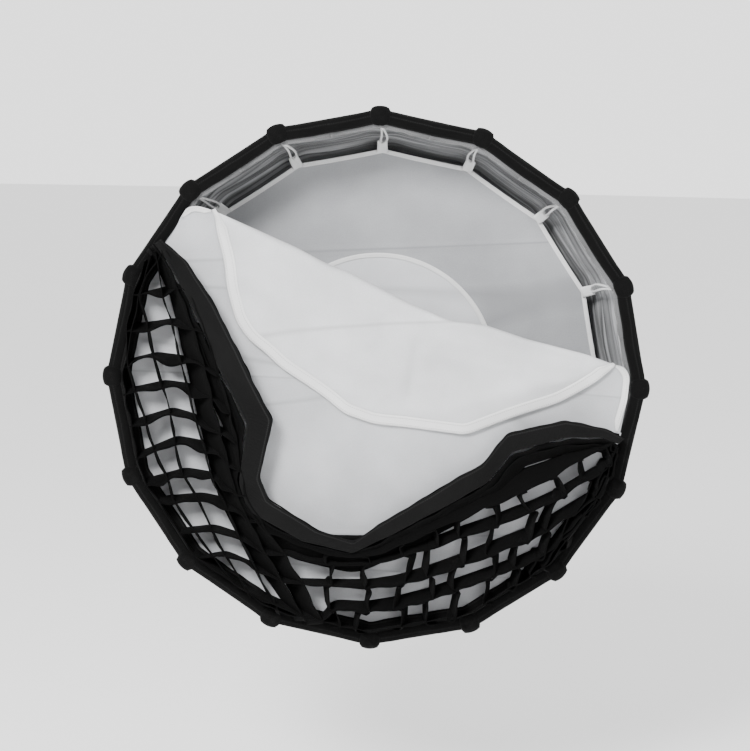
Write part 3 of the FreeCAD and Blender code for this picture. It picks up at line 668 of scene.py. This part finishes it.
def make_pockets():
    """Padded webbing caps that the rib tips sit in, with a strap down the outside."""
    around = np.linspace(0, 2 * math.pi, 36, endpoint=False)[:, None]
    up = np.linspace(-math.pi / 2, math.pi / 2, 19)[None, :]
    for number in range(1, SIDES + 1):
        rng = np.random.default_rng(number)
        wide, deep = 17.6 * rng.uniform(0.95, 1.04), 15.8 * rng.uniform(0.96, 1.03)
        ring = squared(np.cos(up), 0.55)
        radial = 441.0 + deep * squared(np.cos(around), 0.72) * ring
        tangential = wide * squared(np.sin(around), 0.72) * ring
        forward = 558.6 + 8.4 * squared(np.sin(up), 0.7) + 0.4 * ripple(radial, tangential, 14, number)
        cap = surface(
            f"pocket_{number:02d}",
            along_rib(number, radial, tangential, forward),
            "pocket_webbing",
            (True, False),
        )
        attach(cap, rib_body(number))
        down = np.linspace(562, 512, 14)[:, None]
        sideways = np.linspace(-14, 14, 9)[None, :]
        outside = side_radius(cover_apothem(np.minimum(down, 555)), rib_angle(number)) + 4.6
        drop = 3.4 * (sideways / 14) ** 2
        strap = surface(
            f"pocket_strap_{number:02d}",
            along_rib(number, outside - drop, sideways, down),
            "pocket_webbing",
            thickness=1.8,
        )
        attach(strap, rib_body(number))
        turn = np.linspace(0, 2 * math.pi, 40, endpoint=False)
        fall = 0.5 - 0.5 * np.cos(turn)
        width = 8.0 * np.sin(turn) * (0.1 + 0.9 * fall)
        radial = 427.0 - 30.0 * fall - 3 * np.sin(math.pi * fall)
        lean = rng.uniform(-7, 7) * np.sin(math.pi * fall)
        cord = along_rib(number, radial, width + lean, 549 - 125 * fall)
        loop = tube(f"elastic_loop_{number:02d}", cord, 1.9, "elastic_cord", closed=True)
        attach(loop, rib_body(number))
        if number == 1:
            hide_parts("rib_pockets")
            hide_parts("elastic_loops")


# The cuff's section as (radius, forward), from the hub outwards.
CUFF = [
    (72.7, 20.5),
    (78, 21.5),
    (88, 26.5),
    (98, 33),
    (107, 39.5),
    (113.5, 45),
    (115, 48.5),
    (113.5, 50),
]


def make_cuff():
    """The elastic cloth cuff that closes the shell round the hub."""
    angle = np.linspace(0, 2 * math.pi, 320, endpoint=False)[:, None]
    profile = np.array(CUFF)
    along = np.linspace(0, len(profile) - 1, 36)
    radius = np.interp(along, range(len(profile)), profile[:, 0])[None, :]
    forward = np.interp(along, range(len(profile)), profile[:, 1])[None, :]
    middle = np.sin(math.pi * np.linspace(0, 1, 36))[None, :]
    pleats = 0.9 * np.sin(64 * angle + np.sin(5 * angle)) * middle
    cuff = surface(
        "cuff", polar(radius, forward - pleats, angle), "cuff_cloth", (True, False), thickness=1.0
    )
    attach(cuff, "hub")
    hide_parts("hub_cuff")


# ---------------------------------------------------------------- inner diffuser


def make_inner_layer():
    angle = np.linspace(0, 2 * math.pi, 16 * 14, endpoint=False)[:, None]
    corner_share = from_midplane(angle) / HALF
    edge = side_radius(379.6, angle) - 0.9 * (1 - corner_share**2)

    def sag(points):
        x, z = points[..., 0] / MM, points[..., 2] / MM
        out = np.hypot(x, z) / 387
        return (0.8 * ripple(x, z, 150, 31) + 0.4 * ripple(x, z, 60, 32)) * (1 - 0.6 * out)

    def layer(name, slot, inner, outer, rows, forward, thickness):
        radius = inner + (outer - inner) * np.linspace(0, 1, rows)[None, :]
        points = polar(radius, forward, angle)
        points[..., 1] -= sag(points) * MM
        uv = np.concatenate([points, points[:1]])[..., [0, 2]]
        if rows < 6:
            uv = None
        obj = surface(name, points, slot, (True, False), uv, thickness)
        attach(obj, "inner_layer")
        return obj

    sheet = layer("inner_sheet", "inner_cloth", 0.5, edge - 1, 40, 400.8, 0.0)
    binding = layer("inner_hem", "white_binding", edge - 7.5, edge, 5, 401.5, 1.4)
    disc = layer("disc_sheet", "disc_cloth", 0.5, 200.0, 24, 402.2, 0.0)
    disc_edge = layer("disc_hem", "white_binding", 199.0, 207.0, 5, 402.6, 0.9)
    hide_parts("inner_diffuser")
    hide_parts("inner_binding")
    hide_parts("centre_disc")
    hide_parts("disc_binding")
    for number in range(1, SIDES + 1):
        along = np.linspace(0, 1, 10)[:, None]
        across = np.linspace(-1, 1, 6)[None, :]
        radial = 380 + 20 * along + 1.2 * np.sin(3 * along) * across
        forward = 403 + 24 * along**1.15
        tab = surface(
            f"tab_{number:02d}",
            along_rib(number, radial, across * (9.4 - 1.0 * along), forward),
            "tab_tape",
            thickness=1.2,
        )
        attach(tab, "inner_layer")
    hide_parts("corner_tabs")


# ---------------------------------------------------------------- outer diffuser

# The fold's crest as (x, z), from the rim on the left to the rim on the right.
CREST = [
    (-325, 270),
    (-317, 285),
    (-300, 288),
    (-274, 281),
    (-254, 273),
    (-194, 248),
    (-133, 222),
    (-84, 197),
    (-46, 184),
    (53, 135),
    (120, 108),
    (182, 101),
    (252, 79),
    (351, 56),
    (397, 40),
    (414, 37),
    (423, 21),
    (420, -19),
    (406, -73),
]
FLAP_START, FLAP_END = 3, 14
# The part of the whole sheet that is folded down.
# The flap's free edge, from the crest's left to its right.
FREE_EDGE = [
    (-270, 272),
    (-267, 246),
    (-253, 193),
    (-249, 153),
    (-234, 98),
    (-214, 69),
    (-180, 43),
    (-160, 23),
    (-114, -6),
    (-80, -29),
    (-50, -53),
    (-3, -69),
    (57, -74),
    (154, -84),
    (238, -50),
    (308, -26),
    (369, 11),
    (398, 38),
]
# Soft ridges on the flap: both ends and height.
RIDGES = [
    ((20, 105), (345, 38), -6.5, 22),
    ((60, 62), (330, 12), 4.5, 20),
    ((-190, 215), (-10, 80), 5.0, 24),
    ((-225, 150), (-90, 40), -4.5, 20),
    ((-120, 60), (40, 10), 4.0, 18),
    ((375, 38), (130, -40), 3.5, 14),
    ((60, -20), (70, 60), -3.0, 10),
]


def fold_height(points, crest, edge):
    """How far forward the flap lies: it rolls over the crest and comes down to its free edge."""
    from_crest, from_edge = distance(points, crest), distance(points, edge)
    roll = np.sqrt(1 - (1 - np.clip(from_crest / 10, 0, 1)) ** 2)
    height = 565.5 + 9.5 * roll * smoothstep(from_edge / 45 + 0.25)
    height -= 4.0 * (1 - smoothstep(from_edge / 90)) * roll
    for a, b, rise, width in RIDGES:
        line = resample([a, b], 40)
        height += rise * roll * np.exp(-((distance(points, line) / width) ** 2))
    return height + 1.0 * roll * ripple(points[..., 0], points[..., 1], 110, 41)


def make_outer_diffuser():
    crest = resample(CREST, 260, 5)
    start = np.argmin(np.linalg.norm(crest - CREST[FLAP_START], axis=1))
    end = np.argmin(np.linalg.norm(crest - CREST[FLAP_END], axis=1))
    flap_crest = crest[start : end + 1]
    edge = resample(FREE_EDGE, len(flap_crest), 9)
    edge[0], edge[-1] = flap_crest[0], flap_crest[-1]

    angles = np.linspace(math.atan2(270, -325), 2 * math.pi + math.atan2(-73, 406), 260)
    attached = side_radius(420.0, angles)[:, None] * np.stack([np.cos(angles), np.sin(angles)], 1)
    share = np.linspace(0, 1, 90)[None, :, None] ** 1.35
    back = crest[:, None] * (1 - share) + attached[:, None] * share
    height = 557.2 + 8.3 * np.exp(-distance(back, crest) / 9)
    inside = smoothstep(distance(back, attached) / 80)
    height += inside * (0.9 * ripple(back[..., 0], back[..., 1], 140, 43) - 0.8)
    share = np.linspace(0, 1, 70)[None, :, None] ** 1.5
    flap = flap_crest[:, None] * (1 - share) + edge[:, None] * share
    rise = fold_height(flap, crest, edge)
    rise[:, 0] = height[start : end + 1, 0]

    lower = surface("diffuser_lower", flat_place(back, height), "outer_cloth", uv=back * MM)
    folded = surface("diffuser_flap", flat_place(flap, rise), "doubled_cloth", uv=flap * MM + 1.3)
    for obj in (lower, folded):
        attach(obj, "front_diffuser")
    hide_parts("outer_diffuser")

    def strip(name, line, width, height_at):
        """A hem along line. A negative width lays it to the right of the line."""
        ends = np.minimum(np.arange(len(line)), np.arange(len(line))[::-1]) / 8
        across = width * np.clip(0.35 + ends, 0, 1)[:, None] * np.linspace(0, 1, 7)[None, :]
        points = line[:, None] + left_normals(line)[:, None] * across[..., None]
        obj = surface(name, flat_place(points, height_at(points)), "hem_tape", thickness=0.7)
        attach(obj, "front_diffuser")
        return obj

    def on_flap(points):
        return fold_height(points, crest, edge) + 1.1

    def beside_crest(points):
        return 558.6 + 7 * np.exp(-distance(points, crest) / 9)

    hem = strip("flap_hem", edge, 19.0, on_flap)
    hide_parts("diffuser_hem")
    near_left, near_right = resample(crest[: start + 1], 30, 6), resample(crest[end:], 40, 6)
    left = strip("left_hem", near_left, -9.0, beside_crest)
    right = strip("right_hem", near_right, -10.0, beside_crest)


# ---------------------------------------------------------------- grid

# Long strips down the left, as (x, z) at their front edges, crossed point by point by the rungs.
LEFT_STRIPS = [
    [
        (-380, 196), (-400, 140), (-411, 83), (-408, 24), (-395, -22), (-378, -71),
        (-364, -121), (-340, -167), (-329, -206), (-295, -255), (-265, -295), (-228, -340),
    ],
    [
        (-371, 206), (-390, 135), (-375, 86), (-365, 35), (-350, -12), (-337, -58),
        (-330, -106), (-315, -160), (-288, -202), (-266, -251), (-245, -291), (-204, -356),
    ],
    [
        (-362, 213), (-351, 144), (-334, 92), (-318, 29), (-307, -18), (-291, -72),
        (-278, -115), (-263, -168), (-240, -212), (-214, -268), (-190, -315), (-158, -375),
    ],
    [
        (-352, 216), (-323, 151), (-299, 86), (-279, 20), (-265, -37), (-249, -94),
        (-237, -143), (-224, -192), (-202, -236), (-173, -290), (-142, -338), (-108, -397),
    ],
    [
        (-344, 216), (-307, 148), (-277, 78), (-256, 13), (-237, -48), (-224, -102),
        (-218, -151), (-208, -192), (-180, -237), (-143, -289), (-109, -338), (-78, -403),
    ],
]
# Long strips along the bottom, from the rim inwards, crossed in the same way.
LOWER_STRIPS = [
    [
        (-258, -292), (-199, -323), (-149, -342), (-99, -354), (-58, -365), (-10, -366), (41, -356),
        (94, -336), (135, -320), (189, -299), (236, -280), (271, -265), (313, -237), (358, -205), (382, -180),
    ],
    [
        (-243, -242), (-199, -284), (-161, -310), (-110, -317), (-65, -327), (-4, -326), (43, -317),
        (92, -299), (141, -279), (188, -258), (244, -234), (281, -215), (322, -191), (367, -165), (401, -140),
    ],
    [
        (-224, -209), (-192, -249), (-163, -275), (-117, -282), (-68, -288), (-5, -285), (54, -267),
        (99, -250), (148, -229), (194, -212), (261, -182), (305, -159), (344, -136), (383, -114), (409, -97),
    ],
    [
        (-211, -192), (-187, -225), (-164, -245), (-118, -259), (-68, -275), (-10, -275), (43, -253),
        (92, -225), (141, -201), (187, -179), (242, -153), (291, -128), (336, -102), (377, -86), (408, -81),
    ],
]
BAND_INNER = [
    (-354, 233), (-311, 199), (-262, 123), (-222, 48), (-202, 6), (-166, -61), (-187, -160), (-171, -196),
    (-90, -245), (-29, -264), (13, -232), (106, -174), (145, -147), (182, -126), (221, -73), (317, -50),
    (380, -61), (413, -77),
]
BAND_OUTER = [
    (-364, 226), (-342, 197), (-308, 135), (-277, 70), (-258, 24), (-209, -70), (-221, -169), (-206, -215),
    (-114, -264), (-30, -282), (24, -255), (95, -215), (146, -185), (191, -157), (231, -104), (318, -78),
    (375, -76), (405, -86),
]
GRID_FRONT, GRID_REAR = 603.0, 561.5
# The place along the left strips at which each lower strip crosses them.
LEFT_RUNGS = {0: 11, 1: 10, 2: 9}


def ribbon(name, line, lean, wave, seed, front=GRID_FRONT, rear=GRID_REAR, reach=8.0):
    """A strip of grid cloth on edge. lean lists, at even steps along it, how far its rear edge
    lies to the left of its front edge."""
    line = np.asarray(line, float)
    length = np.linalg.norm(np.diff(line, axis=0), axis=1).sum()
    path = resample(line, max(8, int(length / 5)), reach)
    normal = left_normals(path)
    along = np.linspace(0, 1, len(path))
    lean = np.interp(along, np.linspace(0, 1, len(lean)), lean)
    depth = np.linspace(0, 1, 7)[None, :]
    run = along * length
    sway = wave * ripple(run, 0, 46, seed, 4)
    belly = 1.5 * ripple(run, 0, 70, seed + 1)
    shift = lean[:, None] * depth + sway[:, None] * (1 - depth) ** 1.3
    shift = shift + np.sin(math.pi * depth) * belly[:, None]
    points = path[:, None] + normal[:, None] * shift[..., None]
    lift = 1.2 * ripple(run, 0, 55, seed + 2)[:, None]
    forward = front + (rear - front) * depth + lift * (1 - depth)
    obj = surface(name, flat_place(points, forward), "grid_cloth", thickness=1.5)
    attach(obj, "grid")
    return obj


def outwards(inner, outer, apothem):
    """Where the way from inner through outer meets the rim's side."""
    inner, outer = np.array(inner, float), np.array(outer, float)
    way = (outer - inner) / np.linalg.norm(outer - inner)
    place = outer.copy()
    for _ in range(200):
        if np.hypot(*place) >= side_radius(apothem, math.atan2(place[1], place[0])):
            break
        place += way * 2
    return tuple(place)


def glued(line, turn):
    """A rung that runs along each strip it crosses for a little way, as where two strips are glued."""
    line = np.asarray(line, float)
    apart = np.linalg.norm(np.diff(line, axis=0), axis=1) > 1
    line = line[np.r_[True, apart]]
    across = left_normals(line)
    path = []
    for k, place in enumerate(line):
        slide = across[k] * (7.0 if (k + turn) % 2 else -6.0)
        path += [place - slide, place + slide]
    return path


def make_grid():
    start, end = math.radians(149), math.radians(346.5)
    angles = np.linspace(start, end, 220)
    wall = side_radius(409.0, angles)[:, None] * np.stack([np.cos(angles), np.sin(angles)], 1)
    border = ribbon("grid_border", wall, (-7, -7), 1.6, 60)
    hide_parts("grid_lattice")
    across = np.linspace(402, 421, 6)[None, :]
    wave = 0.6 * ripple(angles * 430, 0, 50, 61)
    radius = side_radius(across, angles[:, None]) + wave[:, None]
    tape = surface("grid_rim_tape", polar(radius, 560.6, angles[:, None]), "grid_tape", thickness=2.0)
    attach(tape, "grid")

    left_leans = [
        (-4, -7),
        (-3, -5, -7),
        (-6, -9, -12),
        (-16, -34, -38, -36, -24),
        (-6, -10, -26, -34, -34),
    ]
    for k, (line, lean) in enumerate(zip(LEFT_STRIPS, left_leans)):
        whole = [*line, outwards(line[-2], line[-1], 412)]
        ribbon(f"grid_left_{k}", whole, lean, 1.2, 70 + 5 * k)
    for j in range(1, 9):
        line = [strip[j] for strip in LEFT_STRIPS]
        rim = outwards(line[1], line[0], 412)
        ribbon(f"grid_left_rung_{j}", [rim, *line], (6, 8, 7), 4.0, 110 + 7 * j, reach=5)
    lower_leans = [(0, 2, 13, 10, 4), (-3, 0, 11, 15, 6), (2, 4, 9, 12, 4), (14, 26, 34, 32, 4)]
    lower_drops = [(11, 13, 25, 22, 8), (9, 12, 23, 27, 10), (14, 16, 21, 24, 10), (8, 12, 19, 22, 4)]
    lower = []
    for k, (line, lean, drop) in enumerate(zip(LOWER_STRIPS, lower_leans, lower_drops)):
        line = np.array(line, float)
        drop = np.interp(np.linspace(0, 1, len(line)), np.linspace(0, 1, len(drop)), drop)
        line = line - left_normals(line) * drop[:, None]
        rim = side_radius(410.0, np.arctan2(line[:, 1], line[:, 0]))
        line *= np.minimum(1, rim / np.hypot(line[:, 0], line[:, 1]))[:, None]
        lower.append(line)
        # Where the two sets of strips meet, a lower strip goes on as the left strips' rung.
        if k in LEFT_RUNGS:
            rung = [strip[LEFT_RUNGS[k]] for strip in LEFT_STRIPS]
            line = [outwards(rung[1], rung[0], 410), *rung, *line[4:]]
        whole = [*line, outwards(line[-2], line[-1], 410)]
        ribbon(f"grid_lower_{k}", whole, lean, 1.4, 200 + 5 * k)
    for j in range(4, 15):
        line = [strip[j] for strip in lower]
        rim = outwards(line[1], line[0], 412)
        side = 9 if j % 3 else -10
        path = glued([rim, *line], j)
        ribbon(f"grid_lower_rung_{j}", path, (side, side), 2.6, 240 + 7 * j, reach=2.5)

    inner, outer = np.array(BAND_INNER, float), np.array(BAND_OUTER, float)
    both = resample(np.concatenate([inner, outer], 1), 260, 3)
    share = np.linspace(0, 1, 11)[None, :, None]
    points = both[:, None, :2] * (1 - share) + both[:, None, 2:] * share
    height = 605.0 + 1.4 * ripple(points[..., 0], points[..., 1], 70, 301)
    height -= 5.0 * share[..., 0] ** 2
    band = surface("grid_band_tape", flat_place(points, height), "grid_tape", thickness=3.0)
    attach(band, "grid")
    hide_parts("grid_band")
    ribbon("grid_band_wall", both[:, :2], (-6, -8, -6), 0.8, 303, front=603, rear=566, reach=3)
    for k, (drop, lean) in enumerate(((3, -26), (12, -30))):
        edge = both[:, 2:] - left_normals(both[:, 2:]) * drop
        leans = (lean * 0.4, lean, lean, lean, lean * 0.5)
        front, rear = 600 - 8 * k, 574 - 6 * k
        ribbon(f"grid_bunch_{k}", edge, leans, 2.0, 310 + 5 * k, front=front, rear=rear)


# ---------------------------------------------------------------- studio


def make_studio():
    world = bpy.data.worlds.new("studio")
    bpy.context.scene.world = world
    world.use_nodes = True
    tree = world.node_tree
    sky = tree.nodes["Background"]
    sky.inputs[0].default_value = (1, 1, 1, 1)
    place = tree.nodes.new("ShaderNodeTexCoord")
    axes = tree.nodes.new("ShaderNodeSeparateXYZ")
    brightness = tree.nodes.new("ShaderNodeMapRange")
    brightness.interpolation_type = "SMOOTHSTEP"
    for key, value in (("From Min", -0.6), ("From Max", 0.8), ("To Min", 1.15), ("To Max", 2.1)):
        brightness.inputs[key].default_value = value
    tree.links.new(place.outputs["Generated"], axes.inputs[0])
    tree.links.new(axes.outputs[1], brightness.inputs["Value"])
    tree.links.new(brightness.outputs[0], sky.inputs[1])
    mesh = bpy.data.meshes.new("floor")
    turn = np.linspace(0, 2 * math.pi, 96, endpoint=False)
    reach, level = 45, -0.85
    edge = np.stack([reach * np.cos(turn), reach * np.sin(turn), np.full(96, level)], 1)
    mesh.from_pydata(edge.tolist(), [], [list(range(96))])
    g = Graph("floor")
    cloud = g.noise(g.add("TexCoord").outputs["Object"], 2.0)
    paint = g.add(
        "BsdfPrincipled", {"Base Color": g.mix(cloud, grey(0.965), grey(0.985)), "Roughness": 0.9}
    )
    mesh.materials.append(g.finish(paint.outputs[0]))
    floor = bpy.data.objects.new("floor", mesh)
    bpy.context.scene.collection.objects.link(floor)
    for name, place, power, size in (
        ("key", (-1.2, -3.7, 2.0), 290, 1.0),
        ("fill", (1.4, -4.0, 0.3), 45, 1.4),
    ):
        data = bpy.data.lights.new(name, "AREA")
        data.energy, data.size = power, size
        lamp = bpy.data.objects.new(name, data)
        lamp.location = place
        aim = Vector((0, -0.5, 0)) - Vector(place)
        lamp.rotation_mode = "QUATERNION"
        lamp.rotation_quaternion = aim.to_track_quat("-Z", "Y")
        bpy.context.scene.collection.objects.link(lamp)


make_shell()
make_sleeves()
make_rim()
make_pockets()
make_cuff()
make_inner_layer()
make_outer_diffuser()
make_grid()
make_studio()
